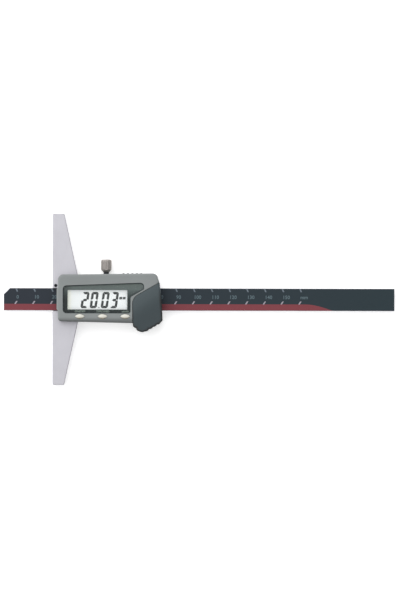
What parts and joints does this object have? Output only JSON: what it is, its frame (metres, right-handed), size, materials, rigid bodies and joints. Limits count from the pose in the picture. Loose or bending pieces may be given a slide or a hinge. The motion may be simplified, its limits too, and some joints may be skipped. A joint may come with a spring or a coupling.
{
  "type": "digital depth gauge",
  "caption": "Electronic depth gauge: hardened measuring base, sliding scale beam, display housing with push buttons, knurled clamp knob and thumb rest.",
  "frame": {"origin": "in the lapped measuring face, on the centreline of the beam, at the back face that the gauge lies on", "axes": "+X along the beam away from the work, +Y across it towards the clamp knob, +Z out of the display"},
  "size_m": [0.2203, 0.0966, 0.0147],
  "materials": {
    "ground_steel": "ground",
    "stainless_steel": "brushed",
    "black_oxide_steel": "black oxide",
    "screw_steel": "turned",
    "gib_bronze": "machined",
    "knob_nickel": "satin nickel",
    "case_plastic": "fine texture",
    "cover_plastic": "fine texture",
    "button_plastic": "satin",
    "inner_plastic": "moulded",
    "window_acrylic": "clear",
    "window_ink": "screen printed",
    "display_glass": "clear",
    "display_reflector": "diffuse",
    "contact_rubber": "striped",
    "board_laminate": "solder mask",
    "chip_resin": "moulded",
    "can_steel": "drawn",
    "spring_steel": "stamped",
    "scale_laminate": "etched",
    "scale_print": "satin print"
  },
  "bodies": {
    "slider": {"measuring_base": "ground_steel", "slider_frame": "stainless_steel", "base_screw_upper": "black_oxide_steel", "base_screw_lower": "black_oxide_steel", "back_plate": "stainless_steel", "back_plate_screw_upper": "screw_steel", "back_plate_screw_lower": "screw_steel", "gib": "gib_bronze", "gib_set_screw_left": "black_oxide_steel", "gib_set_screw_right": "black_oxide_steel", "gib_keeper_pin": "black_oxide_steel", "case": "case_plastic", "case_screw_1": "screw_steel", "case_screw_2": "screw_steel", "case_screw_3": "screw_steel", "case_screw_4": "screw_steel", "window_lens": "window_acrylic", "window_mask": "window_ink", "lcd_front_glass": "display_glass", "lcd_rear_glass": "display_glass", "lcd_reflector": "display_reflector", "lcd_frame": "inner_plastic", "zebra_strip_lower": "contact_rubber", "zebra_strip_upper": "contact_rubber", "circuit_board": "board_laminate", "controller_chip": "chip_resin", "timing_crystal": "can_steel", "data_port": "chip_resin", "battery": "can_steel", "battery_contact_negative": "spring_steel", "battery_contact_positive": "spring_steel", "button_dome_left": "spring_steel", "button_dome_middle": "spring_steel", "button_dome_right": "spring_steel"},
    "beam": {"beam": "ground_steel", "scale_stator": "scale_laminate", "scale_film": "scale_print", "beam_stop": "stainless_steel", "beam_stop_screw_lower": "screw_steel", "beam_stop_screw_upper": "screw_steel"},
    "lock_pad": {"lock_pad": "gib_bronze"},
    "lock_screw": {"lock_stud": "screw_steel", "lock_knob": "knob_nickel"},
    "button_left": {"button_left": "button_plastic"},
    "button_middle": {"button_middle": "button_plastic"},
    "button_right": {"button_right": "button_plastic"},
    "battery_cover": {"battery_cover": "cover_plastic"},
    "port_cover": {"port_cover": "case_plastic"}
  },
  "joints": [
    {"name": "beam_slide", "type": "slide", "parent": "slider", "child": "beam", "axis": [-1, 0, 0], "range_m": [-0.0276, 0.125]},
    {"name": "lock_travel", "type": "slide", "parent": "slider", "child": "lock_pad", "axis": [0, -1, 0], "range_m": [-0.0005, 0.000208]},
    {"name": "lock_turn", "type": "hinge", "parent": "lock_pad", "child": "lock_screw", "pos_m": [0.0302, 0, 0.0034], "axis": [0, -1, 0], "range_deg": [-360.5, 150.5]},
    {"name": "button_left_press", "type": "slide", "parent": "slider", "child": "button_left", "axis": [0, 0, -1], "range_m": [0, 0.0005], "stiffness_N_per_m": 400, "springref_m": -0.001},
    {"name": "button_middle_press", "type": "slide", "parent": "slider", "child": "button_middle", "axis": [0, 0, -1], "range_m": [0, 0.0005], "stiffness_N_per_m": 400, "springref_m": -0.001},
    {"name": "button_right_press", "type": "slide", "parent": "slider", "child": "button_right", "axis": [0, 0, -1], "range_m": [0, 0.0005], "stiffness_N_per_m": 400, "springref_m": -0.001},
    {"name": "battery_cover_slide", "type": "slide", "parent": "slider", "child": "battery_cover", "axis": [1, 0, 0], "range_m": [0, 0.02]},
    {"name": "port_cover_pull", "type": "slide", "parent": "slider", "child": "port_cover", "axis": [0, 1, 0], "range_m": [0, 0.006]}
  ],
  "couplings": [
    {"joint": "lock_turn", "follows": "lock_travel", "rad_per_m": 12566}
  ]
}
